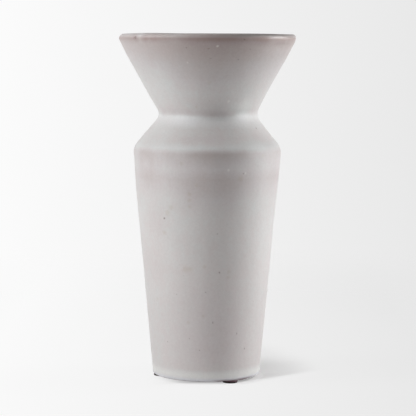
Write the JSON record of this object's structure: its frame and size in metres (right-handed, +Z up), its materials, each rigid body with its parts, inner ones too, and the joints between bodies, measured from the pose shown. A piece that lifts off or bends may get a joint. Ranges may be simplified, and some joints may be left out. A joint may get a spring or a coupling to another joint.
{
  "type": "vase",
  "caption": "Tall stoneware vase with a tapered body, a rounded shoulder, a creased neck and a wide conical flare, matt glazed, standing on felt pads.",
  "frame": {"origin": "on the vase's axis, at the height of the surface that the felt pads stand on", "axes": "+Z up along the vase's axis, -Y towards the viewer of the picture, +X to the viewer's right"},
  "size_m": [0.1744, 0.1744, 0.341],
  "materials": {
    "bare_stoneware": "unglazed dark red-brown stoneware, wiped smooth",
    "matt_glaze": "matt off-white glaze, breaking to mauve and brown at the edges, smoother and grey-beige on the rim",
    "wool_felt": "dark brown needled felt",
    "adhesive_film": "translucent yellowish acrylic adhesive"
  },
  "bodies": {
    "root": {"stoneware_body": "bare_stoneware", "glaze_coat": "matt_glaze", "felt_pad_front": "wool_felt", "felt_pad_left": "wool_felt", "felt_pad_rear": "wool_felt", "adhesive_disc_front": "adhesive_film", "adhesive_disc_left": "adhesive_film", "adhesive_disc_rear": "adhesive_film"}
  },
  "joints": []
}
